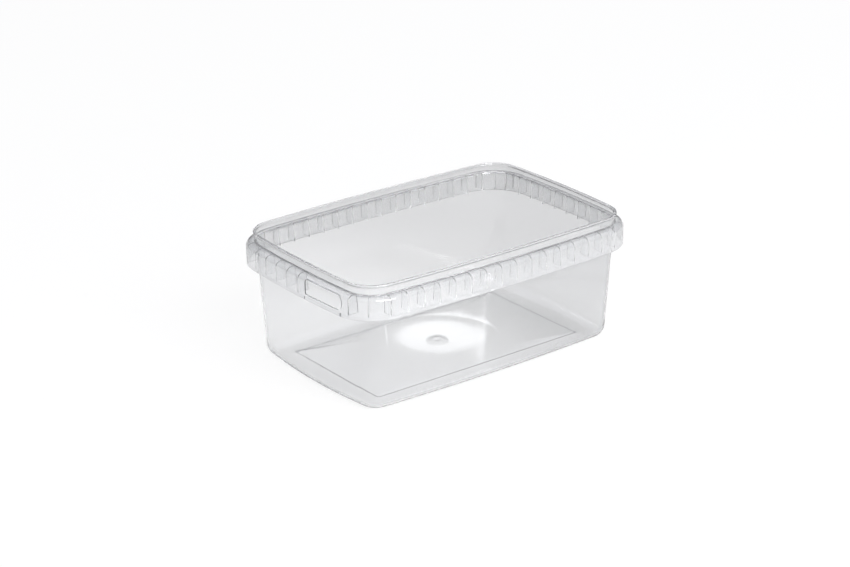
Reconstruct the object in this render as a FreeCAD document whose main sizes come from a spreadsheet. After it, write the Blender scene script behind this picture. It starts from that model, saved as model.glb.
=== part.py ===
"""Clear rectangular packaging tub with a rim bead, a ribbed skirt and a finger slot.

One moulded piece, modelled in millimetres: X runs along the length, Y across the width, Z up.
The origin is the middle of the face that the tub stands on. The short side with the finger slot
faces -X.

The solid is worked out as a mould maker would: a block with the outer form, less the pockets
between the skirt's ribs, less the core that forms the inside.
"""

import FreeCAD, Part
import math
import os
import re

import Sketcher

SIZES = {
    # the rim's outer edge, seen from above: four shallow arcs joined by corner arcs
    "rim_length": 186.4,
    "rim_width": 120.8,
    "rim_corner": 16.8,
    "long_arc": 1410.0,
    "short_arc": 640.0,
    "tub_height": 75.3,
    # the upright rim above the shoulder, with the bead that the lid snaps over
    "bead_height": 1.6,
    "bead_overhang": 0.75,
    "bead_round": 0.5,
    "rim_wall": 0.75,
    # the shoulder and the skirt that hangs from it
    "shoulder_drop": 5.4,
    "skirt_overhang": 5.0,
    "skirt_corner": 24.9,
    "skirt_wall": 0.8,
    "skirt_drop": 18.5,
    "shoulder_round": 3.2,
    "skirt_edge_round": 0.5,
    # the tapered body
    "body_wall": 0.7,
    "body_top_inset": 1.35,
    "foot_inset": 4.5,
    "foot_corner": 11.8,
    "foot_long_arc": 1320.0,
    "foot_short_arc": 330.0,
    "foot_round": 7.2,
    "seat_drop": 5.65,
    # the ribs between body and skirt
    "rib_thickness": 0.8,
    "rib_drop": 16.3,
    "long_rib_pitch": 10.37,
    "short_rib_pitch": 10.5,
    # the floor, its raised panel, its shallow dome and the gate mark
    "floor_thickness": 0.9,
    "panel_length": 141.8,
    "panel_width": 79.0,
    "panel_corner": 1.2,
    "panel_rise": 0.8,
    "dome_radius": 38.0,
    "dome_rise": 1.2,
    "gate_radius": 6.1,
    "gate_rise": 0.5,
    "gate_sink": 0.02,
    "gate_wall": 0.4,
    "nub_radius": 1.1,
    "nub_height": 0.5,
    # the finger slot in the skirt and the strip under it
    "slot_near": 12.0,
    "slot_far": 43.4,
    "slot_bottom_drop": 15.1,
    "slot_top_drop": 6.7,
    "slot_near_round": 1.0,
    "slot_far_round": 3.6,
    "notch_width": 0.8,
    "notch_height": 2.2,
    "notch_near_inset": 0.6,
    "notch_far_inset": 1.2,
}
LONG_RIBS = 16
SHORT_RIBS = 10
FOOT_STEPS = 5
OVERRUN = 6.0  # how far cutting blocks run past the surfaces that they cut
OVERLAP = 0.5  # how far joined blocks run into each other
SAME = 0.01  # differences below this count as none

doc = FreeCAD.newDocument("tub_document")
sheet = doc.addObject("Spreadsheet::Sheet", "sizes")
for row, (alias, value) in enumerate(SIZES.items(), start=1):
    sheet.set(f"A{row}", alias)
    sheet.set(f"B{row}", str(value))
    sheet.setAlias(f"B{row}", alias)
doc.recompute()


def cell(alias):
    """The value that the sheet holds under an alias."""
    return float(getattr(sheet, alias))


def worked_out(expression):
    """An expression such as "rim_length / 2" with its aliases bound to the sheet, and its value."""
    bound = re.sub(r"\b[a-z_]+\b", lambda m: f"sizes.{m[0]}" if m[0] in SIZES else m[0], expression)
    return bound, float(sheet.evalExpression(bound))


def bind(thing, path, expression):
    """Binds a property to an expression over the sheet's aliases."""
    thing.setExpression(path, worked_out(expression)[0])


def origin_plane(body, role):
    """The named origin plane of a body."""
    return next(f for f in body.Origin.OriginFeatures if f.Role == role)


def new_sketch(body, name, role="XY_Plane", height=None):
    """A sketch on one of its body's origin planes, lifted along the plane's normal."""
    sketch = body.newObject("Sketcher::SketchObject", name)
    sketch.AttachmentSupport = [(origin_plane(body, role), "")]
    sketch.MapMode = "FlatFace"
    if height is not None:
        bind(sketch, "AttachmentOffset.Base.z", height)
    return sketch


def corner_centre(half_length, half_width, corner, long_arc, short_arc):
    """Centre of the corner arc that meets both side arcs smoothly, in the first quadrant."""
    side_x = half_length - short_arc
    side_y = half_width - long_arc
    x, y = half_length - corner, half_width - corner
    for _ in range(40):
        x = side_x + math.sqrt((short_arc - corner) ** 2 - y**2)
        y = side_y + math.sqrt((long_arc - corner) ** 2 - x**2)
    return x, y


def outline(body, name, height, half_length, half_width, corner, long_arc, short_arc):
    """A closed plan outline of four shallow side arcs and four corner arcs, all bound to the sheet."""
    sketch = new_sketch(body, name, height=height)
    expressions = (half_length, half_width, corner, long_arc, short_arc)
    a, b, r, big, small = (worked_out(e)[1] for e in expressions)
    px, py = corner_centre(a, b, r, big, small)
    side_angle = math.atan2(py, px - (a - small))
    end_angle = math.atan2(py - (b - big), px)
    half_turn = math.pi

    def arc(x, y, radius, start, end):
        circle = Part.Circle(FreeCAD.Vector(x, y, 0), FreeCAD.Vector(0, 0, 1), radius)
        return sketch.addGeometry(Part.ArcOfCircle(circle, start, end), False)

    right = arc(a - small, 0, small, -side_angle, side_angle)
    corner_1 = arc(px, py, r, side_angle, end_angle)
    top = arc(0, b - big, big, end_angle, half_turn - end_angle)
    corner_2 = arc(-px, py, r, half_turn - end_angle, half_turn - side_angle)
    left = arc(small - a, 0, small, half_turn - side_angle, half_turn + side_angle)
    corner_3 = arc(-px, -py, r, half_turn + side_angle, half_turn + end_angle)
    bottom = arc(0, big - b, big, half_turn + end_angle, 2 * half_turn - end_angle)
    corner_4 = arc(px, -py, r, 2 * half_turn - end_angle, 2 * half_turn - side_angle)

    ring = [right, corner_1, top, corner_2, left, corner_3, bottom, corner_4]
    start, end, middle, x_axis, y_axis, root = 1, 2, 3, -1, -2, -1
    for first, second in zip(ring, ring[1:] + ring[:1]):
        sketch.addConstraint(Sketcher.Constraint("Tangent", first, end, second, start))
    for other in (corner_2, corner_3, corner_4):
        sketch.addConstraint(Sketcher.Constraint("Equal", corner_1, other))
    sketch.addConstraint(Sketcher.Constraint("Equal", right, left))
    sketch.addConstraint(Sketcher.Constraint("Equal", top, bottom))
    for side in (right, left):
        sketch.addConstraint(Sketcher.Constraint("PointOnObject", side, middle, x_axis))
    for side in (top, bottom):
        sketch.addConstraint(Sketcher.Constraint("PointOnObject", side, middle, y_axis))

    def dimension(label, expression, *constraint):
        index = sketch.addConstraint(Sketcher.Constraint(*constraint))
        sketch.renameConstraint(index, label)
        bind(sketch, f"Constraints.{label}", expression)

    dimension("corner", corner, "Radius", corner_1, r)
    dimension("long_side", long_arc, "Radius", top, big)
    dimension("short_side", short_arc, "Radius", right, small)
    along = f"({short_arc}) - ({half_length})"
    across = f"({long_arc}) - ({half_width})"
    dimension("right_reach", along, "DistanceX", right, middle, root, 1, small - a)
    dimension("left_reach", along, "DistanceX", root, 1, left, middle, small - a)
    dimension("top_reach", across, "DistanceY", top, middle, root, 1, big - b)
    dimension("bottom_reach", across, "DistanceY", root, 1, bottom, middle, big - b)
    return sketch


def rim_outline(body, name, height, inset):
    """The rim's plan outline, moved inwards by an inset (outwards where it is negative)."""
    return outline(
        body,
        name,
        height,
        f"rim_length / 2 - ({inset})",
        f"rim_width / 2 - ({inset})",
        f"rim_corner - ({inset})",
        f"long_arc - ({inset})",
        f"short_arc - ({inset})",
    )


def skirt_outline(body, name, height, inset):
    """The skirt's outer plan outline, moved inwards by an inset."""
    return outline(
        body,
        name,
        height,
        f"rim_length / 2 + skirt_overhang - ({inset})",
        f"rim_width / 2 + skirt_overhang - ({inset})",
        f"skirt_corner - ({inset})",
        f"long_arc + skirt_overhang - ({inset})",
        f"short_arc + skirt_overhang - ({inset})",
    )


def foot_outline(body, name, height, inset):
    """The outline that the body's walls run down to, moved inwards by an inset."""
    return outline(
        body,
        name,
        height,
        f"rim_length / 2 - foot_inset - ({inset})",
        f"rim_width / 2 - foot_inset - ({inset})",
        f"foot_corner - ({inset})",
        f"foot_long_arc - ({inset})",
        f"foot_short_arc - ({inset})",
    )


def new_body(name):
    """An empty body."""
    return doc.addObject("PartDesign::Body", name)


def pad(body, sketch, name, length):
    """A pad of a sketch, along its normal."""
    feature = body.newObject("PartDesign::Pad", name)
    feature.Profile = sketch
    feature.Refine = True
    bind(feature, "Length", length)
    doc.recompute()
    return feature


def loft(body, sections, name, ruled):
    """A loft through outlines, from the lowest to the highest."""
    feature = body.newObject("PartDesign::AdditiveLoft", name)
    feature.Profile = sections[0]
    feature.Sections = sections[1:]
    feature.Ruled = ruled
    doc.recompute()
    return feature


def level_edges(feature, height):
    """Names of a feature's edges that lie wholly at one height."""
    names = []
    for index, edge in enumerate(feature.Shape.Edges, start=1):
        box = edge.BoundBox
        if abs(box.ZMin - height) < SAME and abs(box.ZMax - height) < SAME:
            names.append(f"Edge{index}")
    return names


def round_level(body, base, name, height, radius):
    """A fillet on all edges of a feature at one height."""
    feature = body.newObject("PartDesign::Fillet", name)
    feature.Base = (base, level_edges(base, worked_out(height)[1]))
    bind(feature, "Radius", radius)
    doc.recompute()
    return feature


def block(name, maker, bottom, top, inset, rounds=()):
    """A body padded from one plan outline between two heights, with rounded edges."""
    body = new_body(name)
    sketch = maker(body, f"{name}_plan", bottom, inset)
    feature = pad(body, sketch, f"{name}_pad", f"({top}) - ({bottom})")
    for number, (height, radius) in enumerate(rounds, start=1):
        feature = round_level(body, feature, f"{name}_round_{number}", height, radius)
    return body


def tapered(name, bottom, top, foot_extra, top_inset, radius):
    """The body's taper between two heights, on a foot rounded all round by a quarter circle."""
    body = new_body(name)
    rounding = []
    for step in range(FOOT_STEPS + 1):
        turned = 90 * step / FOOT_STEPS
        lift = f"({bottom}) + ({radius}) * (1 - cos({turned}))"
        pulled_in = f"({foot_extra}) + ({radius}) * (1 - sin({turned}))"
        rounding.append(foot_outline(body, f"{name}_foot_{step}", lift, pulled_in))
    upper = rim_outline(body, f"{name}_top", top, top_inset)
    loft(body, rounding, f"{name}_foot", ruled=False)
    loft(body, [rounding[-1], upper], f"{name}_wall", ruled=True)
    return body


def rectangle(body, name, height, length, width):
    """A rectangle about the origin, its length and width bound to the sheet."""
    sketch = new_sketch(body, name, height=height)
    long_side, short_side = worked_out(length)[1], worked_out(width)[1]
    corners = [
        FreeCAD.Vector(x * long_side / 2, y * short_side / 2, 0)
        for x, y in ((-1, -1), (1, -1), (1, 1), (-1, 1))
    ]
    for first, second in zip(corners, corners[1:] + corners[:1]):
        sketch.addGeometry(Part.LineSegment(first, second), False)
    for side in range(4):
        following = (side + 1) % 4
        sketch.addConstraint(Sketcher.Constraint("Coincident", side, 2, following, 1))
    for side, kind in enumerate(("Horizontal", "Vertical", "Horizontal", "Vertical")):
        sketch.addConstraint(Sketcher.Constraint(kind, side))
    sketch.addConstraint(Sketcher.Constraint("Symmetric", 0, 1, 1, 2, -1, 1))
    for label, side, kind, expression, value in (
        ("length", 0, "DistanceX", length, long_side),
        ("width", 1, "DistanceY", width, short_side),
    ):
        index = sketch.addConstraint(Sketcher.Constraint(kind, side, 1, side, 2, value))
        sketch.renameConstraint(index, label)
        bind(sketch, f"Constraints.{label}", expression)
    return sketch


def panel_block(name, bottom, top, inset):
    """A flat block with the floor panel's outline, its upright edges rounded."""
    body = new_body(name)
    length, width = f"panel_length - 2 * ({inset})", f"panel_width - 2 * ({inset})"
    sketch = rectangle(body, f"{name}_plan", bottom, length, width)
    feature = pad(body, sketch, f"{name}_pad", f"({top}) - ({bottom})")
    upright = [
        f"Edge{index}"
        for index, edge in enumerate(feature.Shape.Edges, start=1)
        if edge.BoundBox.ZLength > SAME
    ]
    rounded = body.newObject("PartDesign::Fillet", f"{name}_round")
    rounded.Base = (feature, upright)
    bind(rounded, "Radius", "panel_corner")
    doc.recompute()
    return body


def dome(name, base, radius, rise):
    """A shallow spherical cap that stands on a level base."""
    cap = doc.addObject("Part::Sphere", name)
    ball = f"(({radius}) ^ 2 + ({rise}) ^ 2) / (2 * ({rise}))"
    bind(cap, "Radius", ball)
    bind(cap, "Angle1", f"asin(1 - ({rise}) / ({ball}))")
    bind(cap, "Placement.Base.z", f"({base}) + ({rise}) - {ball}")
    return cap


def disc(name, bottom, radius, height):
    """A short upright cylinder about the vertical axis."""
    cylinder = doc.addObject("Part::Cylinder", name)
    bind(cylinder, "Radius", radius)
    bind(cylinder, "Height", height)
    bind(cylinder, "Placement.Base.z", bottom)
    return cylinder


def rib_plate(name, x, y, turn):
    """An upright plate one rib thick that starts at a point in plan and runs outwards."""
    plate = doc.addObject("Part::Box", name)
    plate.Length = 4 * OVERRUN
    bind(plate, "Width", "rib_thickness")
    bind(plate, "Height", "rib_drop")
    plate.Placement.Rotation = FreeCAD.Rotation(FreeCAD.Vector(0, 0, 1), turn)
    bind(plate, "Placement.Base.x", f"({x}) + rib_thickness / 2 * sin({turn})")
    bind(plate, "Placement.Base.y", f"({y}) - rib_thickness / 2 * cos({turn})")
    bind(plate, "Placement.Base.z", "tub_height - rib_drop")
    return plate


def rib_plates():
    """Plates for all ribs: along both long sides, both short sides, and one at each corner."""
    plates = []
    start_x = f"(rim_length / 2 - {2 * OVERRUN})"
    start_y = f"(rim_width / 2 - {2 * OVERRUN})"
    for number in range(LONG_RIBS):
        x = f"{number - (LONG_RIBS - 1) / 2} * long_rib_pitch"
        plates.append(rib_plate(f"rib_back_{number + 1}", x, start_y, 90))
        plates.append(rib_plate(f"rib_front_{number + 1}", x, f"-{start_y}", -90))
    for number in range(SHORT_RIBS):
        y = f"{number - (SHORT_RIBS - 1) / 2} * short_rib_pitch"
        plates.append(rib_plate(f"rib_right_{number + 1}", start_x, y, 0))
        beside_slot = -cell("slot_far") < worked_out(y)[1] < -cell("slot_near")
        if not beside_slot:
            plates.append(rib_plate(f"rib_left_{number + 1}", f"-{start_x}", y, 180))
    inner_x, inner_y = corner_centre(
        cell("rim_length") / 2,
        cell("rim_width") / 2,
        cell("rim_corner"),
        cell("long_arc"),
        cell("short_arc"),
    )
    for number, (sign_x, sign_y) in enumerate(((1, 1), (-1, 1), (-1, -1), (1, -1)), start=1):
        turn = math.degrees(math.atan2(sign_y, sign_x))
        plates.append(rib_plate(f"rib_corner_{number}", sign_x * inner_x, sign_y * inner_y, turn))
    bundle = doc.addObject("Part::Compound", "rib_plates")
    bundle.Links = plates
    return bundle


def slot_cutter():
    """The finger slot's outline on the short side, run through the skirt."""
    body = new_body("slot_cutter")
    sketch = new_sketch(body, "slot_side", role="YZ_Plane")
    near, far = -cell("slot_near"), -cell("slot_far")
    low = cell("tub_height") - cell("slot_bottom_drop")
    high = cell("tub_height") - cell("slot_top_drop")
    corners = [FreeCAD.Vector(y, z, 0) for y, z in ((far, low), (near, low), (near, high), (far, high))]
    for first, second in zip(corners, corners[1:] + corners[:1]):
        sketch.addGeometry(Part.LineSegment(first, second), False)
    for side in range(4):
        sketch.addConstraint(Sketcher.Constraint("Coincident", side, 2, (side + 1) % 4, 1))
    for side, kind in enumerate(("Horizontal", "Vertical", "Horizontal", "Vertical")):
        sketch.addConstraint(Sketcher.Constraint(kind, side))
    for label, kind, place, expression in (
        ("near_end", "DistanceX", (1, 1), "slot_near"),
        ("far_end", "DistanceX", (0, 1), "slot_far"),
    ):
        index = sketch.addConstraint(
            Sketcher.Constraint(kind, *place, -1, 1, worked_out(expression)[1])
        )
        sketch.renameConstraint(index, label)
        bind(sketch, f"Constraints.{label}", expression)
    for label, place, expression in (
        ("bottom", (0, 1), "tub_height - slot_bottom_drop"),
        ("top", (2, 1), "tub_height - slot_top_drop"),
    ):
        index = sketch.addConstraint(
            Sketcher.Constraint("DistanceY", -1, 1, *place, worked_out(expression)[1])
        )
        sketch.renameConstraint(index, label)
        bind(sketch, f"Constraints.{label}", expression)
    bind(sketch, "AttachmentOffset.Base.z", f"-(rim_length / 2 + skirt_overhang + {OVERRUN / 2})")
    feature = pad(body, sketch, "slot_pad", f"{OVERRUN / 2} + skirt_overhang")
    for name, place, radius in (
        ("slot_near_ends", -cell("slot_near"), "slot_near_round"),
        ("slot_far_ends", -cell("slot_far"), "slot_far_round"),
    ):
        along = [
            f"Edge{index}"
            for index, edge in enumerate(feature.Shape.Edges, start=1)
            if edge.BoundBox.XLength > SAME and abs(edge.CenterOfMass.y - place) < SAME
        ]
        rounded = body.newObject("PartDesign::Fillet", name)
        rounded.Base = (feature, along)
        bind(rounded, "Radius", radius)
        doc.recompute()
        feature = rounded
    return body


def notch(name, y):
    """A narrow break notch up from the skirt's lower edge, at one end of the strip under the slot."""
    box = doc.addObject("Part::Box", name)
    box.Length = 2 * OVERRUN
    bind(box, "Width", "notch_width")
    bind(box, "Height", f"notch_height + {OVERRUN}")
    bind(box, "Placement.Base.x", f"-(rim_length / 2 + skirt_overhang + {OVERRUN})")
    bind(box, "Placement.Base.y", f"({y}) - notch_width / 2")
    bind(box, "Placement.Base.z", f"tub_height - skirt_drop - {OVERRUN}")
    return box


def together(name, *pieces):
    """One solid out of several that overlap."""
    joined = doc.addObject("Part::MultiFuse", name)
    joined.Shapes = list(pieces)
    joined.Refine = True
    doc.recompute()
    return joined


def less(name, base, tool):
    """A solid less another."""
    cut = doc.addObject("Part::Cut", name)
    cut.Base = base
    cut.Tool = tool
    doc.recompute()
    return cut


def outer_form():
    """Everything solid: skirt and shoulder block, tapered body, upright rim and bead."""
    skirt = block(
        "skirt_block",
        skirt_outline,
        "tub_height - skirt_drop",
        "tub_height - shoulder_drop",
        "0",
        (
            ("tub_height - shoulder_drop", "shoulder_round"),
            ("tub_height - skirt_drop", "skirt_edge_round"),
        ),
    )
    rim = block(
        "rim_block",
        rim_outline,
        f"tub_height - shoulder_drop - {OVERLAP}",
        "tub_height",
        "bead_overhang",
    )
    bead = block(
        "bead_block",
        rim_outline,
        "tub_height - bead_height",
        "tub_height",
        "0",
        (("tub_height", "bead_round"), ("tub_height - bead_height", "bead_round")),
    )
    return skirt, rim, bead


def floor_core():
    """What the core leaves free above the floor: the raised panel, its dome and the gate's bump."""
    top = "floor_thickness + panel_rise"
    panel = panel_block("panel_top", "floor_thickness / 2", top, "0")
    swell = dome("dome_top", top, "dome_radius", "dome_rise")
    gate = dome("gate_top", f"{top} + dome_rise - gate_sink", "gate_radius", "gate_rise")
    return together("floor_relief", panel, swell, gate)


def floor_hollow():
    """What is hollow under the floor: the panel's recess, its dome, and the gate's dimple."""
    top = "panel_rise + dome_rise"
    recess = panel_block("panel_under", f"-{OVERRUN}", "panel_rise", "body_wall")
    swell = dome("dome_under", "panel_rise", "dome_radius", "dome_rise")
    gate = dome("gate_under", f"{top} - gate_sink", "gate_radius - gate_wall", "gate_rise")
    nub_low = f"{top} + gate_rise - nub_height"
    nub = disc("gate_nub", nub_low, "nub_radius", f"nub_height + {OVERLAP}")
    return less("floor_hollow", together("floor_hollow_block", recess, swell, gate), nub)


body_form = tapered("body_form", "0", "tub_height - shoulder_drop", "0", "body_top_inset", "foot_round")
skirt_form, rim_form, bead_form = outer_form()
core_body = tapered(
    "core_body",
    "floor_thickness",
    "tub_height - seat_drop",
    "body_wall",
    "body_top_inset + body_wall",
    "foot_round - body_wall",
)
core_rim = block(
    "core_rim",
    rim_outline,
    "tub_height - seat_drop",
    f"tub_height + {OVERRUN}",
    "bead_overhang + rim_wall",
)
pocket_block = block(
    "pocket_block",
    skirt_outline,
    f"tub_height - skirt_drop - {OVERRUN}",
    "tub_height - shoulder_drop - skirt_wall",
    "skirt_wall",
    (("tub_height - shoulder_drop - skirt_wall", "shoulder_round - skirt_wall"),),
)
pocket_ring = less("pocket_ring", pocket_block, body_form)
pockets = less("pockets", pocket_ring, rib_plates())
core = less("core", together("core_block", core_body, core_rim), floor_core())
notches = [
    notch("notch_near", "notch_near_inset - slot_near"),
    notch("notch_far", "notch_far_inset - slot_far"),
]
cuts = together("skirt_cuts", slot_cutter(), *notches)

outer = together("outer_form", body_form, skirt_form, rim_form, bead_form)
ribbed = less("ribbed", outer, pockets)
hollowed = less("hollowed", ribbed, core)
underside = less("underside", hollowed, floor_hollow())
tub = less("tub", underside, cuts)
tub.Label = "tub"
doc.recompute()

for thing in doc.Objects:
    if "Invalid" in thing.State or "Error" in thing.State:
        raise RuntimeError(f"{thing.Name} did not compute: {thing.State}")
SUBPARTS = [tub]
os.makedirs("parts", exist_ok=True)
for part in SUBPARTS:
    shape = part.Shape
    if shape.isNull() or not shape.isValid() or len(shape.Solids) != 1:
        raise RuntimeError(f"{part.Label} is not one valid solid")
    shape.exportStep(f"parts/{part.Label}.step")
    box = shape.BoundBox
    print(part.Label, "volume", round(shape.Volume, 1), "mm3, box", box)
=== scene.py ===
"""Looks of a clear rectangular packaging tub: a moulded shell, its plastic, the studio and the camera.

The shell is worked out ring by ring. Each ring is a plan outline at one height, and all rings have the
same stations round the tub, so that neighbouring rings join up in rows of four-sided faces. The rings run
from the middle of the floor's upper side, up the inner wall, over the rim, down the skirt, up into the
space behind it, down the outer wall and back to the middle of the floor's underside.
"""

import math
from collections import namedtuple

import bpy
import numpy as np
from mathutils import Matrix, Vector


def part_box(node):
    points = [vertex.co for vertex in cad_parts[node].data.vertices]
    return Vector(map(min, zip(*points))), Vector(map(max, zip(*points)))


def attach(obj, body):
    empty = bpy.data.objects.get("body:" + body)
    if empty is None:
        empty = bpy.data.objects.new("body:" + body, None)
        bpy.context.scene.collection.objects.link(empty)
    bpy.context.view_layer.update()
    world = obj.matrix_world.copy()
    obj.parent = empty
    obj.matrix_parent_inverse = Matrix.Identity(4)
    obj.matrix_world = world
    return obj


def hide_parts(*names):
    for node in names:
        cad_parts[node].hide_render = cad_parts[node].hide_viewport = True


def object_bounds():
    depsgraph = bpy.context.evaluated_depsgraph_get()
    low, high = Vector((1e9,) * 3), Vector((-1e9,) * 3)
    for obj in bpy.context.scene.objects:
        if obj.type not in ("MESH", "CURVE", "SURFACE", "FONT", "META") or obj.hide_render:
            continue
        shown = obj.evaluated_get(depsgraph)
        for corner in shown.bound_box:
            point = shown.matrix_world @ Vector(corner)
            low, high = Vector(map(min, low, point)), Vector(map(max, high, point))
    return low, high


bl_info = {
    "name": "Clear Packaging Tub",
    "version": (1, 0, 0),
    "blender": (4, 5, 0),
    "location": "View3D > Sidebar > Tub",
    "description": "Builds a clear packaging tub with a ribbed skirt, its finish and a plain studio",
    "category": "Add Mesh",
}

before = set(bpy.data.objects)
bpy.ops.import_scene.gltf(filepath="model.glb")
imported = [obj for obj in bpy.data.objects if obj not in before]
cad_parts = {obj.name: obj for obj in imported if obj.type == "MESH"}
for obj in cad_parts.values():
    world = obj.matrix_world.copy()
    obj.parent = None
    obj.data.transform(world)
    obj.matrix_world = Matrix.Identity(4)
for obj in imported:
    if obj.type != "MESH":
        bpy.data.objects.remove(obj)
CAD_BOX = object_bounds()
TUB_LOW, TUB_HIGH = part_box("tub")
MM = 0.001
PIECE = "tub_shell"
STRAIGHT = 1000.0  # radius, in metres, of a side that is as good as straight
PIVOT_INSETS = (12.7 * MM, 11.9 * MM)  # from the rim's sides in to where the corners' stations meet
TABLE_REACH = 12.0  # half the table's length, in metres
BACK_DISTANCE = 1.5  # from the tub to the small lamps behind it, in metres
KEY_SIZE = (1.6, 1.2)  # width and height of the large lamp, in metres


def millimetres(name, description, size):
    """A length property whose default is given in millimetres."""
    return bpy.props.FloatProperty(name=name, description=description, default=size * MM, unit="LENGTH")


def plain(name, description, value):
    """A property without a unit."""
    return bpy.props.FloatProperty(name=name, description=description, default=value)


def turned(name, description, degrees):
    """An angle property whose default is given in degrees."""
    return bpy.props.FloatProperty(
        name=name, description=description, default=math.radians(degrees), unit="ROTATION"
    )


def tint(name, description, value):
    """A colour property."""
    return bpy.props.FloatVectorProperty(
        name=name, description=description, default=value, size=3, subtype="COLOR", min=0.0, max=1.0
    )


class TubSizes(bpy.types.PropertyGroup):
    """Driving sizes of the shell."""

    overhang: millimetres("Overhang", "How far the skirt stands out past the rim's outer edge", 5.0)
    rim_corner: millimetres("Rim corner", "Plan radius of the rim's corners", 16.8)
    skirt_corner: millimetres("Skirt corner", "Plan radius of the skirt's corners", 24.9)
    long_arc: millimetres("Long arc", "Radius of the rim's gently bowed long sides", 1410.0)
    short_arc: millimetres("Short arc", "Radius of the rim's gently bowed short sides", 640.0)
    bead_height: millimetres("Bead height", "Height of the bead round the rim's top", 1.6)
    bead_overhang: millimetres("Bead overhang", "How far the bead stands out from the rim's wall", 0.75)
    bead_round: millimetres("Bead rounding", "Radius of the bead's upper outer edge", 0.5)
    bead_ease: millimetres("Bead ease", "How far the edges of the bead's sloping underside are eased", 0.04)
    rim_wall: millimetres("Rim wall", "Thickness of the upright rim", 0.75)
    rim_lip: millimetres("Rim lip", "Radius of the rim's top inner edge", 0.3)
    shoulder_drop: millimetres("Shoulder drop", "How far the shoulder lies below the rim's top", 5.4)
    shoulder_round: millimetres("Shoulder rounding", "Radius from the shoulder to the skirt", 3.2)
    seat_drop: millimetres("Seat drop", "How far the lid's seat inside lies below the rim's top", 5.65)
    skirt_drop: millimetres("Skirt drop", "How far the skirt's lower edge lies below the rim's top", 18.5)
    skirt_wall: millimetres("Skirt wall", "Thickness of the skirt", 0.8)
    skirt_edge: millimetres("Skirt edge", "Radius of the skirt's lower outer edge", 0.5)
    body_wall: millimetres("Body wall", "Thickness of the tapered walls", 0.7)
    body_inset: millimetres("Body inset", "How far the walls start inside the rim's outer edge", 1.35)
    foot_inset: millimetres("Foot inset", "How far the walls have drawn in where the foot begins", 4.5)
    foot_corner: millimetres("Foot corner", "Plan radius of the walls' corners at the foot", 11.8)
    foot_long_arc: millimetres("Foot long arc", "Radius of the long sides at the foot", 1320.0)
    foot_short_arc: millimetres("Foot short arc", "Radius of the short sides at the foot", 330.0)
    foot_round: millimetres("Foot rounding", "Radius from the walls to the underside", 7.2)
    fillet: millimetres("Fillet", "Radius of the small inner corners", 0.35)
    rib_thickness: millimetres("Rib thickness", "Thickness of a rib at its tip", 0.6)
    rib_draft: millimetres("Rib draft", "How much wider than its tip a rib is where it starts", 0.02)
    rib_drop: millimetres("Rib drop", "How far the ribs' lower ends lie below the rim's top", 16.3)
    long_pitch: millimetres("Long pitch", "Spacing of the ribs along a long side", 10.37)
    short_pitch: millimetres("Short pitch", "Spacing of the ribs along a short side", 10.5)
    long_ribs: bpy.props.IntProperty(name="Long ribs", description="Ribs along a long side", default=16)
    short_ribs: bpy.props.IntProperty(name="Short ribs", description="Ribs along a short side", default=10)
    floor_thickness: millimetres("Floor thickness", "Thickness of the floor", 0.9)
    panel_length: millimetres("Panel length", "Length of the floor's raised panel", 141.8)
    panel_width: millimetres("Panel width", "Width of the floor's raised panel", 79.0)
    panel_corner: millimetres("Panel corner", "Plan radius of the panel's corners", 1.2)
    panel_rise: millimetres("Panel rise", "Step up to the panel", 0.5)
    dome_radius: millimetres("Dome radius", "Radius of the shallow dome in the panel's middle", 38.0)
    dome_rise: millimetres("Dome rise", "Height of the dome", 1.2)
    gate_radius: millimetres("Gate radius", "Radius of the round gate mark", 6.1)
    gate_rise: millimetres("Gate rise", "Height of the gate mark", 0.5)
    nub_radius: millimetres("Nub radius", "Radius of the gate's nub under the floor", 1.1)
    nub_height: millimetres("Nub height", "Height of the gate's nub", 0.5)
    slot_near: millimetres("Slot near end", "Distance of the slot's nearer end from the middle", 12.0)
    slot_far: millimetres("Slot far end", "Distance of the slot's farther end from the middle", 43.4)
    slot_low: millimetres("Slot bottom", "How far the slot's bottom lies below the rim's top", 15.1)
    slot_high: millimetres("Slot top", "How far the slot's top lies below the rim's top", 6.7)
    slot_near_round: millimetres("Slot near rounding", "Corner radius at the slot's nearer end", 1.0)
    slot_far_round: millimetres("Slot far rounding", "Corner radius at the slot's farther end", 3.6)
    notch_width: millimetres("Notch width", "Width of the two break notches under the slot", 0.5)
    notch_height: millimetres("Notch height", "Height of the break notches", 2.2)


class TubFinish(bpy.types.PropertyGroup):
    """The clear plastic."""

    colour: tint("Colour", "What is left of white light after it passes one wall", (0.97, 0.973, 0.976))
    haze: plain("Haze", "Share of the light that the walls and floor scatter at each face", 0.05)
    skirt_haze: plain("Skirt haze", "Share of the light that rim and skirt scatter at each face", 0.15)
    rib_haze: plain("Rib haze", "Share of the light that the ribs' flanks scatter at each face", 0.02)
    roughness: plain("Roughness", "Roughness of the plastic's polished faces", 0.05)
    index: plain("Index", "Refractive index of the plastic", 1.49)
    cloud_scale: plain("Cloud scale", "Fineness of the faint clouds in the plastic", 28.0)
    cloud_dim: plain("Cloud dim", "Share of the light left where the clouds are darkest", 0.985)
    ripple_scale: plain("Ripple scale", "Fineness of the ripples on the moulded faces", 60.0)
    ripple_strength: plain("Ripple strength", "Strength of the ripples", 0.08)
    ripple_height: millimetres("Ripple height", "Height of the ripples", 0.2)


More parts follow.
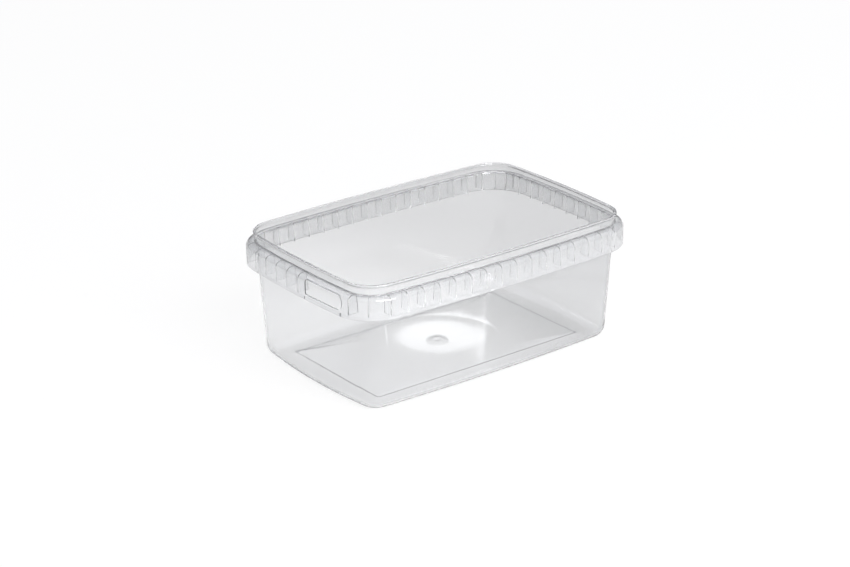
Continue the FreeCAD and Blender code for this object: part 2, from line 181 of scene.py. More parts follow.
class TubStudio(bpy.types.PropertyGroup):
    """Floor, light and camera."""

    floor_colour: tint("Floor colour", "Colour of the floor", (0.97, 0.97, 0.97))
    floor_glow: plain("Floor glow", "Share of plain white in the floor where it is seen directly", 0.9)
    # Seen by way of the plastic, most of the floor's light is painted, not cast by the lamps, so the tub's
    # shadow there is mostly painted over.
    painted_floor_through: plain("Floor through", "Share of own light in the floor seen by way of the plastic", 0.8)
    # The settings below shape that painted patch of light: brightest at its middle beside and behind the
    # tub, painted darker further off, cast by no lamp.
    painted_pool_near: plain("Pool near", "Brightness of the table in the middle of its lit pool", 1.0)
    painted_pool_far: plain("Pool far", "Brightness of the table well away from the pool", 0.65)
    painted_pool_aside: millimetres("Pool aside", "How far the pool's middle lies to the slot's side", 55.0)
    painted_pool_behind: millimetres("Pool behind", "How far the pool's middle lies behind the tub's middle", 40.0)
    painted_pool_from: millimetres("Pool from", "Distance from the pool's middle where it starts to darken", 50.0)
    painted_pool_to: millimetres("Pool to", "Distance from the pool's middle where it ends", 230.0)
    key_azimuth: plain("Key azimuth", "Heading of the large lamp from the front, in degrees", -4.0)
    key_elevation: plain("Key elevation", "Height angle of the large lamp, in degrees", 38.0)
    key_distance: plain("Key distance", "Distance of the large lamp, in metres", 2.0)
    back_azimuth: plain("Back azimuth", "Heading of the small lamp behind, in degrees", 142.3)
    back_elevation: plain("Back elevation", "Height angle of the small lamp behind, in degrees", 22.8)
    back_size: plain("Back size", "Width of the small lamp behind, in metres", 0.2)
    back_tall: plain("Back height", "Height of the small lamp behind, in metres", 0.27)
    core_size: plain("Core size", "Width of the bright core, in metres", 0.1)
    core_power: plain("Core power", "Power of the bright core, in watts", 0.07)
    back_power: plain("Back power", "Power of the small lamp behind, in watts", 0.28)
    sky_colour: tint("Sky colour", "Colour of the surroundings", (0.9, 0.91, 1.0))
    sky_low: plain("Low sky", "Brightness of the surroundings near the horizon", 0.1)
    sky_back: plain("Back sky", "Brightness of the surroundings low down behind the tub", 0.15)
    gap_top: plain("Gap top", "Sine of the height angle up to which the horizon stays dark", 0.1)
    gap_fade: plain("Gap fade", "Rise in that sine over which the dark horizon ends", 0.1)
    gap_share: plain("Gap share", "Share of the surroundings' brightness left at the dark horizon", 0.03)
    screen_from: plain("Screen from", "Cosine of the heading from straight behind where it starts", -0.1)
    screen_to: plain("Screen to", "Cosine of that heading from which the back's brightness holds", 0.6)
    sky_high: plain("High sky", "Brightness of the surroundings overhead", 0.68)
    sky_from: plain("Sky from", "Sine of the height angle where the surroundings start to brighten", 0.35)
    sky_to: plain("Sky to", "Sine of the height angle from which they are brightest", 0.7)
    key_power: plain("Key power", "Power of the large lamp, in watts", 50.0)
    azimuth: turned("Azimuth", "Camera's heading from the front", -37.25)
    elevation: turned("Elevation", "Camera's height angle", 22.57)
    roll: turned("Roll", "Camera's roll", -0.49)
    distance: millimetres("Distance", "Camera's distance from the tub's middle", 1327.0)
    aside: millimetres("Aside", "How far the camera stands to its left of facing the middle", 6.6)
    lowered: millimetres("Lowered", "How far the camera stands below facing the middle", 0.62)
    lens: plain("Lens", "Focal length in millimetres on a sensor 36 mm wide", 99.6)


# ---------------------------------------------------------------- plan outlines

Outline = namedtuple("Outline", "half_length half_width corner long_arc short_arc pivot_x pivot_y")
Circle = namedtuple("Circle", "radius")


def between(first, second, share):
    """An outline part of the way from one outline to another; side arcs blend by their curvature."""
    mixed = [a + (b - a) * share for a, b in zip(first, second)]
    for place in (3, 4):
        mixed[place] = 1 / (1 / first[place] + (1 / second[place] - 1 / first[place]) * share)
    return Outline(*mixed)


def corner_centre(outline):
    """Centre of the corner arc that meets both side arcs smoothly, in the first quadrant."""
    side_x = outline.half_length - outline.short_arc
    side_y = outline.half_width - outline.long_arc
    x, y = outline.half_length - outline.corner, outline.half_width - outline.corner
    for _ in range(40):
        x = side_x + math.sqrt((outline.short_arc - outline.corner) ** 2 - y**2)
        y = side_y + math.sqrt((outline.long_arc - outline.corner) ** 2 - x**2)
    return x, y


class Stations:
    """Where the rings' points lie round the tub: along both kinds of side, and round the corners."""

    def __init__(self, along_long, along_short, round_corner):
        """Shares of the pivot's distance along each side, and angles about the pivot in a corner."""
        rows = []
        for sign_x, sign_y in ((1, 1), (-1, 1), (-1, -1), (1, -1)):
            corner = [("corner", angle, sign_x, sign_y) for angle in round_corner]
            rows.append(corner if sign_x * sign_y > 0 else corner[::-1])
        right = [("short", share, 1, 1) for share in along_short]
        left = [("short", share, -1, 1) for share in along_short[::-1]]
        back = [("long", share, 1, 1) for share in along_long[::-1]]
        front = [("long", share, 1, -1) for share in along_long]
        order = right + rows[0] + back + rows[1] + left + rows[2] + front + rows[3]
        self.kind = np.array([row[0] for row in order])
        self.value = np.array([row[1] for row in order])
        self.sign_x = np.array([row[2] for row in order], float)
        self.sign_y = np.array([row[3] for row in order], float)
        self.count = len(order)
        on_long, on_short = self.kind == "long", self.kind == "short"
        self.sign_x[on_long] = np.where(self.value[on_long] < 0, -1.0, 1.0)
        self.sign_y[on_short] = np.where(self.value[on_short] < 0, -1.0, 1.0)
        self.share = np.where(self.kind == "corner", 1.0, np.abs(self.value))
        angle = np.where(self.kind == "corner", self.value, 0.0)
        self.step_x = np.where(on_short, 1.0, np.where(on_long, 0.0, np.cos(angle)))
        self.step_y = np.where(on_short, 0.0, np.where(on_long, 1.0, np.sin(angle)))

    def on_outline(self, outline):
        """The plan points of all stations on an outline."""
        start_x = np.where(self.kind == "short", 0.0, self.share * outline.pivot_x)
        start_y = np.where(self.kind == "long", 0.0, self.share * outline.pivot_y)

        def exit_from(centre_x, centre_y, radius):
            """How far each station's ray runs until it leaves a circle."""
            off_x, off_y = start_x - centre_x, start_y - centre_y
            along = off_x * self.step_x + off_y * self.step_y
            return -along + np.sqrt(np.maximum(along**2 - off_x**2 - off_y**2 + radius**2, 0.0))

        side_x = outline.half_length - outline.short_arc
        side_y = outline.half_width - outline.long_arc
        reach = np.minimum(
            exit_from(0.0, side_y, outline.long_arc), exit_from(side_x, 0.0, outline.short_arc)
        )
        centre_x, centre_y = corner_centre(outline)
        x, y = start_x + reach * self.step_x, start_y + reach * self.step_y
        turned = np.arctan2(y - centre_y, x - centre_x)
        from_side = math.atan2(centre_y, centre_x - side_x)
        to_side = math.atan2(centre_y - side_y, centre_x)
        in_corner = (turned > from_side) & (turned < to_side)
        reach = np.where(in_corner, exit_from(centre_x, centre_y, outline.corner), reach)
        x, y = start_x + reach * self.step_x, start_y + reach * self.step_y
        return np.stack([x * self.sign_x, y * self.sign_y], axis=1)

    def on_circle(self, circle, guide):
        """The plan points of all stations on a circle, spread as on a guide outline."""
        points = self.on_outline(guide)
        angle = np.arctan2(points[:, 1] * guide.half_length / guide.half_width, points[:, 0])
        return circle.radius * np.stack([np.cos(angle), np.sin(angle)], axis=1)


# ---------------------------------------------------------------- the shell's rings


def quarter(steps):
    """Sine and versed cosine of the steps of a quarter turn, from 0 to 90 degrees, ends left out."""
    for step in range(1, steps):
        turned = math.pi / 2 * step / steps
        yield math.sin(turned), 1 - math.cos(turned)


def spread(first, last, count):
    """Evenly spaced values after the first one, up to the last one."""
    return [first + (last - first) * step / count for step in range(1, count + 1)]


class Shell:
    """All rings of the shell, in order, as (plan points, height) with a name for each stretch."""

    def __init__(self, sizes):
        self.s = sizes
        half = (TUB_HIGH - TUB_LOW) / 2
        self.height = TUB_HIGH.z
        self.half_length = half.x - sizes.overhang
        self.half_width = half.y - sizes.overhang
        self.pivot = (self.half_length - PIVOT_INSETS[0], self.half_width - PIVOT_INSETS[1])
        self.rings = []
        self.panel = Outline(
            sizes.panel_length / 2,
            sizes.panel_width / 2,
            sizes.panel_corner,
            STRAIGHT,
            STRAIGHT,
            sizes.panel_length / 2 - sizes.panel_corner,
            sizes.panel_width / 2 - sizes.panel_corner,
        )

    def rim(self, inset):
        """The rim's outline, moved inwards."""
        s = self.s
        return Outline(
            self.half_length - inset,
            self.half_width - inset,
            s.rim_corner - inset,
            s.long_arc - inset,
            s.short_arc - inset,
            *self.pivot,
        )

    def skirt(self, inset):
        """The skirt's outer outline, moved inwards."""
        s = self.s
        return Outline(
            self.half_length + s.overhang - inset,
            self.half_width + s.overhang - inset,
            s.skirt_corner - inset,
            s.long_arc + s.overhang - inset,
            s.short_arc + s.overhang - inset,
            *self.pivot,
        )

    def foot(self, inset):
        """The outline that the walls run down to, moved inwards."""
        s = self.s
        outline = Outline(
            self.half_length - s.foot_inset - inset,
            self.half_width - s.foot_inset - inset,
            s.foot_corner - inset,
            s.foot_long_arc - inset,
            s.foot_short_arc - inset,
            0.0,
            0.0,
        )
        centre_x, centre_y = corner_centre(outline)
        return outline._replace(pivot_x=centre_x, pivot_y=centre_y)

    def wall(self, height, inset):
        """The tapered wall's outline at a height, moved inwards from the outer face."""
        s = self.s
        low, high = s.foot_round, self.height - s.shoulder_drop
        share = (high - height) / (high - low)
        upper, lower = self.rim(s.body_inset + inset), self.foot(inset)
        mixed = between(upper, lower, share)
        ribs_end = self.height - s.rib_drop - 1.0 * MM
        drawn = min(max((ribs_end - height) / (ribs_end - low), 0.0), 1.0)
        return mixed._replace(
            pivot_x=upper.pivot_x + (lower.pivot_x - upper.pivot_x) * drawn,
            pivot_y=upper.pivot_y + (lower.pivot_y - upper.pivot_y) * drawn,
        )

    def ring(self, outline, height, stretch):
        """Adds one ring."""
        self.rings.append((outline, height, stretch))

    def floor_side(self, level, inset, gate_radius, nub):
        """The rings of one side of the floor, from its middle out to where the walls' rounding starts."""
        s = self.s
        panel_level = level + s.panel_rise
        ball = (s.dome_radius**2 + s.dome_rise**2) / (2 * s.dome_rise)

        def dome(radius):
            """Height of the panel's dome and gate mark at a radius."""
            lift = math.sqrt(ball**2 - radius**2) - (ball - s.dome_rise)
            if radius < gate_radius:
                lift += s.gate_rise * (1 - (radius / gate_radius) ** 2)
            return panel_level + lift

        rings = [(Circle(r), dome(r) - (s.nub_height if nub else 0.0)) for r in spread(0.0, s.nub_radius, 2)]
        if nub:
            rings.append((Circle(s.nub_radius * 1.08), dome(s.nub_radius)))
        rings += [(Circle(r), dome(r)) for r in spread(s.nub_radius * 1.3, gate_radius, 8)]
        rings += [(Circle(r), dome(r)) for r in spread(gate_radius, s.dome_radius * 0.98, 14)]
        rings.append((Circle(s.dome_radius), panel_level))
        panel = self.panel._replace(
            half_length=self.panel.half_length - inset, half_width=self.panel.half_width - inset
        )
        step = 0.25 * s.panel_rise
        for grown, drop in (
            (-1.6 * step, 0.0),
            (-0.8 * step, 0.06),
            (-0.2 * step, 0.3),
            (0.2 * step, 0.7),
            (0.8 * step, 0.94),
            (1.6 * step, 1.0),
        ):
            edge = panel._replace(
                half_length=panel.half_length + grown,
                half_width=panel.half_width + grown,
                corner=panel.corner + grown,
            )
            rings.append((edge, panel_level - drop * s.panel_rise))
        return rings

    def build(self):
        """Works out all rings."""
        s = self.s
        top = self.height
        floor = s.floor_thickness

        # upper side of the floor, inner foot and inner wall
        for outline, height in self.floor_side(floor, 0.0, s.gate_radius, False):
            self.ring(outline, height, "floor")
        inner_round = s.foot_round - s.body_wall
        self.ring(self.foot(s.foot_round), floor, "floor")
        for sine, versed in quarter(12):
            outline = self.foot(s.foot_round - inner_round * sine)
            self.ring(outline, floor + inner_round * versed, "inner foot")
        seat = top - s.seat_drop
        for height in spread(floor + inner_round, seat, 14)[:-1]:
            self.ring(self.wall(height, s.body_wall), height, "inner wall")
        self.ring(self.wall(seat - s.fillet, s.body_wall), seat - s.fillet, "inner wall")

        # the lid's seat, the upright rim and its bead
        inside = s.bead_overhang + s.rim_wall
        seat_inset = s.body_inset + s.body_wall
        for sine, versed in quarter(3):
            self.ring(self.rim(seat_inset - s.fillet * versed), seat - s.fillet * (1 - sine), "seat")
        self.ring(self.rim(inside), seat + s.fillet * 0.2, "seat")
        for height in spread(seat + s.fillet, top - s.rim_lip, 3):
            self.ring(self.rim(inside), height, "rim inside")
        for sine, versed in quarter(4):
            self.ring(self.rim(inside - s.rim_lip * versed), top - s.rim_lip * (1 - sine), "rim top")
        self.ring(self.rim(inside - s.rim_lip), top, "rim top")
        self.ring(self.rim(s.bead_round), top, "rim top")
        for sine, versed in quarter(5):
            self.ring(self.rim(s.bead_round * (1 - sine)), top - s.bead_round * versed, "bead")
        self.ring(self.rim(0.0), top - s.bead_round, "bead")
        low_bead = top - s.bead_height
        slope = s.bead_overhang
        self.ring(self.rim(0.0), low_bead + slope + 2.5 * s.bead_ease, "bead")
        self.ring(self.rim(s.bead_ease), low_bead + slope, "bead")
        self.ring(self.rim(slope - s.bead_ease), low_bead + 2 * s.bead_ease, "bead")
        self.ring(self.rim(slope), low_bead, "bead")

        # the upright rim's outer face, the shoulder and the skirt
        shoulder = top - s.shoulder_drop
        for height in spread(low_bead, shoulder + s.fillet, 3):
            self.ring(self.rim(s.bead_overhang), height, "rim outside")
        for sine, versed in quarter(4):
            self.ring(
                self.rim(s.bead_overhang - s.fillet * versed), shoulder + s.fillet * (1 - sine), "shoulder"
            )
        self.ring(self.rim(s.bead_overhang - s.fillet), shoulder, "shoulder")
        self.ring(self.skirt(s.shoulder_round), shoulder, "shoulder")
        for sine, versed in quarter(9):
            self.ring(
                self.skirt(s.shoulder_round * (1 - sine)), shoulder - s.shoulder_round * versed, "shoulder"
            )
        hem = top - s.skirt_drop
        for height in [shoulder - s.shoulder_round] + spread(
            shoulder - s.shoulder_round, hem + s.skirt_edge, 5
        ):
            self.ring(self.skirt(0.0), height, "skirt outside")
        for sine, versed in quarter(4):
            self.ring(self.skirt(s.skirt_edge * versed), hem + s.skirt_edge * (1 - sine), "hem")
        self.ring(self.skirt(s.skirt_edge), hem, "hem")
        self.ring(self.skirt(s.skirt_wall - 0.15 * MM), hem, "hem")
        self.ring(self.skirt(s.skirt_wall), hem + 0.15 * MM, "hem")

        # behind the skirt: its inner face, the shoulder's underside and the wall
        rib_end = top - s.rib_drop
        ceiling = shoulder - s.skirt_wall
        inner = s.shoulder_round - s.skirt_wall
        self.ring(self.skirt(s.skirt_wall), rib_end, "pocket start")
        for height in spread(rib_end, ceiling - inner, 5):
            self.ring(self.skirt(s.skirt_wall), height, "pocket")
        for sine, versed in quarter(7):
            self.ring(
                self.skirt(s.shoulder_round - inner * (1 - versed)),
                ceiling - inner * (1 - sine),
                "pocket",
            )
        self.ring(self.skirt(s.shoulder_round), ceiling, "pocket")
        for sine, versed in [(0.0, 0.0), *quarter(4)]:
            height = ceiling - s.fillet * versed
            self.ring(self.wall(height, -s.fillet * (1 - sine)), height, "pocket")
        for height in spread(ceiling - s.fillet, rib_end, 6)[:-1]:
            self.ring(self.wall(height, 0.0), height, "pocket")
        self.ring(self.wall(rib_end, 0.0), rib_end, "pocket end")

        # the outer wall, the foot and the floor's underside
        for height in spread(rib_end, s.foot_round, 12):
            self.ring(self.wall(height, 0.0), height, "outer wall")
        for sine, versed in quarter(12):
            self.ring(self.foot(s.foot_round * versed), s.foot_round * (1 - sine), "outer foot")
        self.ring(self.foot(s.foot_round), 0.0, "underside")
        underside = self.floor_side(0.0, s.body_wall, s.gate_radius - 0.4 * MM, True)
        for outline, height in reversed(underside):
            self.ring(outline, height, "underside")
        return self.rings


CLEAR, SATIN, RIB = 0, 1, 2  # the finishes, in the order in which the shell holds them
SATIN_STRETCHES = {"rim top", "bead", "rim outside", "shoulder", "skirt outside", "hem"}


def rib_shares(pitch, count, reach, spans, thickness, draft):
    """Shares along a side where rings have points: on both sides of every rib, and between the ribs."""
    places = [(number - (count - 1) / 2) * pitch for number in range(count)]
    tip, root = thickness / 2, (thickness + draft) / 2
    values, states = [], []
    for place in places:
        for offset, state in ((-root, 0.0), (-tip, 1.0), (tip, 1.0), (root, 0.0)):
            values.append(place + offset)
            states.append(state)
        if place != places[-1]:
            for step in range(1, spans):
                values.append(place + root + (pitch - 2 * root) * step / spans)
                states.append(0.0)
    return [value / reach for value in values], states


def build_shell(sizes):
    """The shell's vertices, its faces and each face's finish, before the slot is cut."""
    shell = Shell(sizes)
    rings = shell.build()
    s = sizes
    long_shares, long_states = rib_shares(
        s.long_pitch, s.long_ribs, shell.pivot[0], 3, s.rib_thickness, s.rib_draft
    )
    short_shares, short_states = rib_shares(
        s.short_pitch, s.short_ribs, shell.pivot[1], 3, s.rib_thickness, s.rib_draft
    )
    corner_tip, corner_root = math.radians(1.1), math.radians(1.4)
    middle = math.radians(45.0)
    steps = [math.radians(90.0 * step / 14) for step in range(15)]
    round_corner = [a for a in steps if abs(a - middle) > 2 * corner_root]
    ribbed = [(middle - corner_root, 0.0), (middle - corner_tip, 1.0)]
    ribbed += [(middle + corner_tip, 1.0), (middle + corner_root, 0.0)]
    corners = sorted([(a, 0.0) for a in round_corner] + ribbed)
    stations = Stations(long_shares, short_shares, [a for a, _ in corners])
    state_of = {("corner", a): b for a, b in corners}
    state_of.update({("long", a): b for a, b in zip(long_shares, long_states)})
    state_of.update({("short", a): b for a, b in zip(short_shares, short_states)})
    ribs = np.array([state_of[(k, v)] for k, v in zip(stations.kind, stations.value)])
    slot_side = (stations.kind == "short") & (stations.sign_x < 0)
    across = stations.value * shell.pivot[1]
    clear = slot_side & (across > -s.slot_far - s.rib_thickness) & (across < -s.slot_near)
    ribs[clear] = 0.0

    plans, heights = [], []
    for outline, height, _ in rings:
        if isinstance(outline, Circle):
            plans.append(stations.on_circle(outline, shell.panel))
        else:
            plans.append(stations.on_outline(outline))
        heights.append(np.full(stations.count, height))
    points = np.concatenate([np.array(plans), np.array(heights)[:, :, None]], axis=2)

    names = [stretch for _, _, stretch in rings]
    first, last = names.index("pocket start"), names.index("pocket end")
    run = points[first : last + 1]
    travelled = np.concatenate(
        [np.zeros((1, stations.count)), np.cumsum(np.linalg.norm(np.diff(run, axis=0), axis=2), axis=0)]
    )
    share = (travelled / travelled[-1])[:, :, None]
    filled = run[0] + (run[-1] - run[0]) * share
    points[first : last + 1] = np.where(ribs[None, :, None] > 0.5, filled, run)

    count, around = len(rings), stations.count
    top_centre = np.array([[0.0, 0.0, points[0, 0, 2]]])
    low_centre = np.array([[0.0, 0.0, points[-1, 0, 2]]])
    vertices = np.concatenate([points.reshape(-1, 3), top_centre, low_centre])
    start, end = count * around, count * around + 1
    faces = [(start, place, (place + 1) % around) for place in range(around)]
    kinds = [CLEAR] * around
    for row in range(count - 1):
        here, there = row * around, (row + 1) * around
        for place in range(around):
            following = (place + 1) % around
            faces.append((here + place, there + place, there + following, here + following))
            if first <= row < last and ribs[place] != ribs[following]:
                kinds.append(RIB)
            else:
                kinds.append(SATIN if names[row] in SATIN_STRETCHES else CLEAR)
    row = (count - 1) * around
    faces += [(end, row + (place + 1) % around, row + place) for place in range(around)]
    kinds += [CLEAR] * around
    return vertices, faces, kinds


def new_object(name, vertices, faces):
    """A mesh object in the scene."""
    mesh = bpy.data.meshes.new(name)
    mesh.from_pydata([tuple(v) for v in vertices], [], faces)
    mesh.validate()
    thing = bpy.data.objects.new(name, mesh)
    bpy.context.scene.collection.objects.link(thing)
    return thing


def prism(name, outline, low, high):
    """A closed prism along X over an outline of (Y, Z) points that runs anticlockwise seen from +X."""
    count = len(outline)
    vertices = [(low, y, z) for y, z in outline] + [(high, y, z) for y, z in outline]
    faces = [tuple(range(count))[::-1], tuple(range(count, 2 * count))]
    for place in range(count):
        following = (place + 1) % count
        faces.append((place, following, count + following, count + place))
    return new_object(name, vertices, faces)


def rounded_corner(centre_y, centre_z, radius, start, steps):
    """Points of a quarter circle, anticlockwise from a start angle in degrees."""
    for step in range(steps + 1):
        turned = math.radians(start + 90.0 * step / steps)
        yield centre_y + radius * math.cos(turned), centre_z + radius * math.sin(turned)


def slot_cutters(sizes):
    """The finger slot and the two notches under it, as closed cutters through the skirt."""
    s = sizes
    top = TUB_HIGH.z
    low, high = top - s.slot_low, top - s.slot_high
    outside, inside = TUB_LOW.x - 2 * MM, TUB_LOW.x + s.overhang + 0.2 * MM
    near, far = -s.slot_near, -s.slot_far
    a, b = s.slot_near_round, s.slot_far_round
    outline = [
        *rounded_corner(near - a, low + a, a, -90, 5),
        *rounded_corner(near - a, high - a, a, 0, 5),
        *rounded_corner(far + b, high - b, b, 90, 10),
        *rounded_corner(far + b, low + b, b, 180, 10),
    ]
    cutters = [prism("slot_cutter", outline, outside, inside)]
    hem = top - s.skirt_drop
    half = s.notch_width / 2
    for number, middle in enumerate((near + 0.6 * MM, far + 1.2 * MM), start=1):
        tip = hem + s.notch_height
        wedge = [
            (middle - half, hem - MM),
            (middle + half, hem - MM),
            (middle + half, tip - half),
            (middle + 0.4 * half, tip),
            (middle - 0.4 * half, tip),
            (middle - half, tip - half),
        ]
        cutters.append(prism(f"notch_cutter_{number}", wedge, outside, inside))
    return cutters


def cut(thing, cutters):
    """Takes closed cutters out of a closed mesh."""
    for cutter in cutters:
        modifier = thing.modifiers.new(cutter.name, "BOOLEAN")
        modifier.operation = "DIFFERENCE"
        modifier.solver = "EXACT"
        modifier.object = cutter
    bpy.context.view_layer.update()
    graph = bpy.context.evaluated_depsgraph_get()
    mesh = bpy.data.meshes.new_from_object(thing.evaluated_get(graph))
    thing.modifiers.clear()
    thing.data = mesh
    for cutter in cutters:
        bpy.data.objects.remove(cutter)


def shade(thing, degrees):
    """Smooth shading, with edges sharper than an angle left sharp."""
    thing.data.shade_smooth()
    thing.data.set_sharp_from_angle(angle=math.radians(degrees))


# ---------------------------------------------------------------- finish


def clear_plastic(finish, name, haze):
    """Clear, very slightly hazy moulded plastic."""
    material = bpy.data.materials.new(name)
    material.use_nodes = True
    nodes, links = material.node_tree.nodes, material.node_tree.links
    shader = nodes["Principled BSDF"]
    shader.inputs["IOR"].default_value = finish.index
    shader.inputs["Transmission Weight"].default_value = 1 - haze

    where = nodes.new("ShaderNodeTexCoord")
    cloud = nodes.new("ShaderNodeTexNoise")
    cloud.inputs["Scale"].default_value = finish.cloud_scale
    cloud.inputs["Detail"].default_value = 3.0
    links.new(where.outputs["Object"], cloud.inputs["Vector"])

    colour = nodes.new("ShaderNodeMix")
    colour.data_type = "RGBA"
    dim = [channel * finish.cloud_dim for channel in finish.colour]
    colour.inputs["A"].default_value = (*dim, 1.0)
    colour.inputs["B"].default_value = (*finish.colour, 1.0)
    links.new(cloud.outputs["Fac"], colour.inputs["Factor"])
    links.new(colour.outputs["Result"], shader.inputs["Base Color"])

    rough = nodes.new("ShaderNodeMapRange")
    rough.inputs["To Min"].default_value = finish.roughness * 0.7
    rough.inputs["To Max"].default_value = finish.roughness * 1.3
    links.new(cloud.outputs["Fac"], rough.inputs["Value"])
    links.new(rough.outputs["Result"], shader.inputs["Roughness"])

    ripple = nodes.new("ShaderNodeTexNoise")
    ripple.inputs["Scale"].default_value = finish.ripple_scale
    ripple.inputs["Detail"].default_value = 1.0
    links.new(where.outputs["Object"], ripple.inputs["Vector"])
    bump = nodes.new("ShaderNodeBump")
    bump.inputs["Strength"].default_value = finish.ripple_strength
    bump.inputs["Distance"].default_value = finish.ripple_height
    links.new(ripple.outputs["Fac"], bump.inputs["Height"])
    links.new(bump.outputs["Normal"], shader.inputs["Normal"])
    return material


def ramp(nodes, span, values):
    """A smooth ramp from one value to another over a span."""
    node = nodes.new("ShaderNodeMapRange")
    node.interpolation_type = "SMOOTHSTEP"
    node.inputs["From Min"].default_value, node.inputs["From Max"].default_value = span
    node.inputs["To Min"].default_value, node.inputs["To Max"].default_value = values
    return node


def floor_finish(studio):
    """A plain pale floor: white seen directly, and seen by way of the plastic a painted patch of light,
    bright near the tub and painted darker further off, that no lamp casts.
    """
    material = bpy.data.materials.new("floor")
    material.use_nodes = True
    nodes, links = material.node_tree.nodes, material.node_tree.links
    shader = nodes["Principled BSDF"]
    shader.inputs["Roughness"].default_value = 1.0
    shader.inputs["Specular IOR Level"].default_value = 0.0
    shader.inputs["Base Color"].default_value = (*studio.floor_colour, 1.0)

    glow = nodes.new("ShaderNodeEmission")
    path = nodes.new("ShaderNodeLightPath")
    where = nodes.new("ShaderNodeTexCoord")
    # distance from the painted patch's middle: its painted light is brightest there and painted darker with
    # distance
    away = nodes.new("ShaderNodeVectorMath")
    away.operation = "DISTANCE"
    away.inputs[1].default_value = (-studio.painted_pool_aside, studio.painted_pool_behind, 0.0)
    links.new(where.outputs["Object"], away.inputs[0])
    painted_pool = ramp(nodes, (studio.painted_pool_from, studio.painted_pool_to), (studio.painted_pool_near, studio.painted_pool_far))
    links.new(away.outputs["Value"], painted_pool.inputs["Value"])
    # white for camera rays; for rays that come by way of the plastic, the painted patch's brightness
    strength = nodes.new("ShaderNodeMath")
    strength.operation = "MAXIMUM"
    links.new(painted_pool.outputs["Result"], strength.inputs[0])
    links.new(path.outputs["Is Camera Ray"], strength.inputs[1])
    links.new(strength.outputs[0], glow.inputs["Strength"])
    by_plastic = nodes.new("ShaderNodeMath")
    by_plastic.operation = "MAXIMUM"
    links.new(path.outputs["Is Glossy Ray"], by_plastic.inputs[0])
    links.new(path.outputs["Is Transmission Ray"], by_plastic.inputs[1])
    # by way of the plastic, this share of the floor is painted light in place of the lamp-lit floor and its
    # shadow
    through = nodes.new("ShaderNodeMath")
    through.operation = "MULTIPLY"
    through.inputs[1].default_value = studio.painted_floor_through
    links.new(by_plastic.outputs[0], through.inputs[0])
    share = nodes.new("ShaderNodeMath")
    share.operation = "MULTIPLY_ADD"
    share.inputs[1].default_value = studio.floor_glow
    links.new(path.outputs["Is Camera Ray"], share.inputs[0])
    links.new(through.outputs[0], share.inputs[2])
    mix = nodes.new("ShaderNodeMixShader")
    links.new(share.outputs[0], mix.inputs["Fac"])
    links.new(shader.outputs[0], mix.inputs[1])
    links.new(glow.outputs[0], mix.inputs[2])
    links.new(mix.outputs[0], nodes["Material Output"].inputs["Surface"])
    return material


# ---------------------------------------------------------------- operators


class OBJECT_OT_tub_shell(bpy.types.Operator):
    """Build the clear moulded shell in place of the plain tub"""

    bl_idname = "object.tub_shell"
    bl_label = "Tub Shell"
    bl_options = {"REGISTER", "UNDO"}

    def execute(self, context):
        sizes = context.scene.tub_sizes
        vertices, faces, kinds = build_shell(sizes)
        thing = new_object(PIECE, vertices, faces)
        finish = context.scene.tub_finish
        hazes = {
            "clear_plastic": finish.haze,
            "satin_plastic": finish.skirt_haze,
            "rib_plastic": finish.rib_haze,
        }
        for name, haze in hazes.items():
            thing.data.materials.append(clear_plastic(finish, name, haze))
        thing.data.polygons.foreach_set("material_index", kinds)
        cut(thing, slot_cutters(sizes))
        shade(thing, 32.0)
        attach(thing, "root")
        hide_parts("tub")
        return {"FINISHED"}


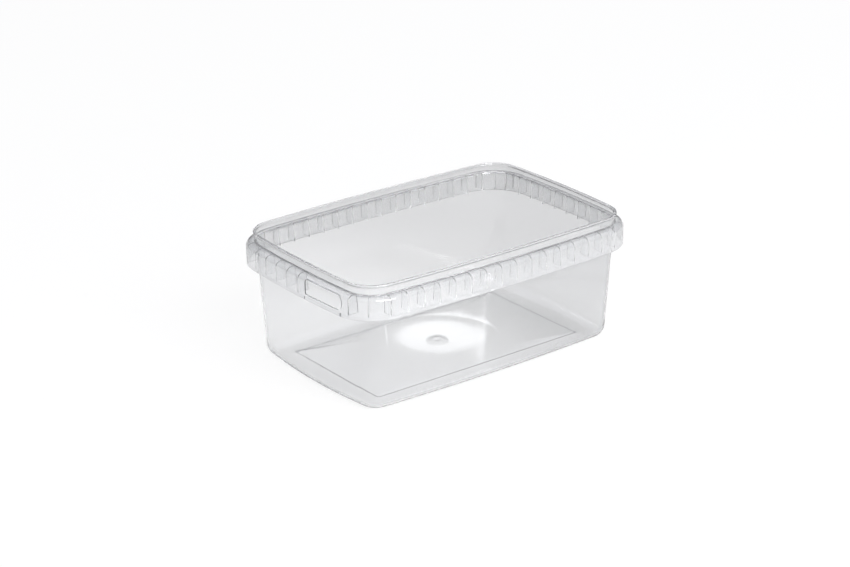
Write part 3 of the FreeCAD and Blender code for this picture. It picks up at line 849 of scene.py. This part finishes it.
class OBJECT_OT_tub_stage(bpy.types.Operator):
    """Lay the floor and set the studio's light and camera"""

    bl_idname = "object.tub_stage"
    bl_label = "Stage"
    bl_options = {"REGISTER", "UNDO"}

    def execute(self, context):
        studio = context.scene.tub_studio
        reach = TABLE_REACH
        corners = [(-reach, -reach, 0), (reach, -reach, 0), (reach, reach, 0), (-reach, reach, 0)]
        floor = new_object("stage_floor", corners, [(0, 1, 2, 3)])
        floor.location.z = -0.02 * MM
        floor.data.materials.append(floor_finish(studio))
        self.light(context.scene, studio)
        self.camera(context.scene, studio)
        context.scene.view_settings.view_transform = "Standard"
        # light runs along inside the thin ribs and meets their faces many times
        paths = context.scene.cycles
        paths.max_bounces = 24
        paths.glossy_bounces = 16
        paths.transmission_bounces = 24
        return {"FINISHED"}

    def light(self, scene, studio):
        """The surroundings, and three soft lamps: a large one in front and two small ones behind."""
        self.surroundings(scene, studio)
        self.lamp(
            scene,
            "key",
            (studio.key_azimuth, studio.key_elevation, studio.key_distance),
            KEY_SIZE,
            studio.key_power,
        )
        behind = (studio.back_azimuth, studio.back_elevation, BACK_DISTANCE)
        self.lamp(scene, "back", behind, (studio.back_size, studio.back_tall), studio.back_power)
        self.lamp(scene, "core", behind, (studio.core_size, studio.core_size), studio.core_power)

    def surroundings(self, scene, studio):
        """A sky that is dim low down, darkest at the horizon and brighter overhead."""
        world = bpy.data.worlds.new("studio_sky")
        scene.world = world
        world.use_nodes = True
        nodes, links = world.node_tree.nodes, world.node_tree.links
        background = nodes["Background"]
        background.inputs["Color"].default_value = (*studio.sky_colour, 1.0)
        where = nodes.new("ShaderNodeTexCoord")
        split = nodes.new("ShaderNodeSeparateXYZ")
        links.new(where.outputs["Generated"], split.inputs[0])
        rise = split.outputs["Z"]
        turn = math.radians(studio.back_azimuth)
        toward = nodes.new("ShaderNodeVectorMath")
        toward.operation = "DOT_PRODUCT"
        toward.inputs[1].default_value = (math.sin(turn), -math.cos(turn), 0.0)
        links.new(where.outputs["Generated"], toward.inputs[0])

        fade = ramp(nodes, (studio.sky_from, studio.sky_to), (studio.sky_low, studio.sky_high))
        links.new(rise, fade.inputs["Value"])
        screen = ramp(nodes, (studio.screen_from, studio.screen_to), (studio.sky_low, studio.sky_back))
        links.new(toward.outputs["Value"], screen.inputs["Value"])
        links.new(screen.outputs["Result"], fade.inputs["To Min"])
        gap = ramp(nodes, (studio.gap_top, studio.gap_top + studio.gap_fade), (studio.gap_share, 1.0))
        links.new(rise, gap.inputs["Value"])
        strength = nodes.new("ShaderNodeMath")
        strength.operation = "MULTIPLY"
        links.new(fade.outputs["Result"], strength.inputs[0])
        links.new(gap.outputs["Result"], strength.inputs[1])
        links.new(strength.outputs["Value"], background.inputs["Strength"])

    def lamp(self, scene, name, place, size, power):
        """A soft oval lamp that faces the tub; its place is its heading, height angle and distance."""
        azimuth, elevation, distance = place
        lamp = bpy.data.lights.new(name, "AREA")
        lamp.shape = "ELLIPSE"
        lamp.size, lamp.size_y = size
        lamp.energy = power
        turn, rise = math.radians(azimuth), math.radians(elevation)
        aim = Vector((math.sin(turn) * math.cos(rise), -math.cos(turn) * math.cos(rise), math.sin(rise)))
        thing = bpy.data.objects.new(name, lamp)
        thing.location = aim * distance
        thing.rotation_euler = aim.to_track_quat("Z", "Y").to_euler()
        scene.collection.objects.link(thing)

    def camera(self, scene, studio):
        """The camera, a little aside of the tub's middle and rolled very slightly."""
        low, high = CAD_BOX
        middle = (Vector(low) + Vector(high)) / 2
        a, e, r = studio.azimuth, studio.elevation, studio.roll
        back = Vector((math.sin(a) * math.cos(e), -math.cos(a) * math.cos(e), math.sin(e)))
        level_right = Vector((0, 0, 1)).cross(back).normalized()
        level_up = back.cross(level_right)
        right = level_right * math.cos(r) + level_up * math.sin(r)
        up = level_up * math.cos(r) - level_right * math.sin(r)
        place = middle + back * studio.distance - right * studio.aside - up * studio.lowered
        data = bpy.data.cameras.new("camera")
        data.sensor_width = 36.0
        data.lens = studio.lens
        data.clip_start = 0.01
        data.clip_end = 60.0
        camera = bpy.data.objects.new("camera", data)
        turn = Matrix((right, up, back)).transposed()
        camera.matrix_world = Matrix.Translation(place) @ turn.to_4x4()
        scene.collection.objects.link(camera)
        scene.camera = camera


class VIEW3D_PT_tub(bpy.types.Panel):
    """Lists what the add-on builds"""

    bl_idname = "VIEW3D_PT_tub"
    bl_label = "Clear Tub"
    bl_space_type = "VIEW_3D"
    bl_region_type = "UI"
    bl_category = "Tub"

    def draw(self, context):
        for operator in STEPS:
            self.layout.operator(operator.bl_idname)


GROUPS = {"tub_sizes": TubSizes, "tub_finish": TubFinish, "tub_studio": TubStudio}
STEPS = (OBJECT_OT_tub_shell, OBJECT_OT_tub_stage)


def register():
    """Makes the classes known and hangs the settings on the scene."""
    for name, group in GROUPS.items():
        bpy.utils.register_class(group)
        setattr(bpy.types.Scene, name, bpy.props.PointerProperty(type=group))
    for operator in STEPS:
        bpy.utils.register_class(operator)
    bpy.utils.register_class(VIEW3D_PT_tub)


def unregister():
    """Takes everything back that register made."""
    bpy.utils.unregister_class(VIEW3D_PT_tub)
    for operator in reversed(STEPS):
        bpy.utils.unregister_class(operator)
    for name, group in reversed(GROUPS.items()):
        delattr(bpy.types.Scene, name)
        bpy.utils.unregister_class(group)


def main():
    """Builds everything in order."""
    register()
    bpy.ops.object.tub_shell()
    bpy.ops.object.tub_stage()


if __name__ == "__main__":
    main()
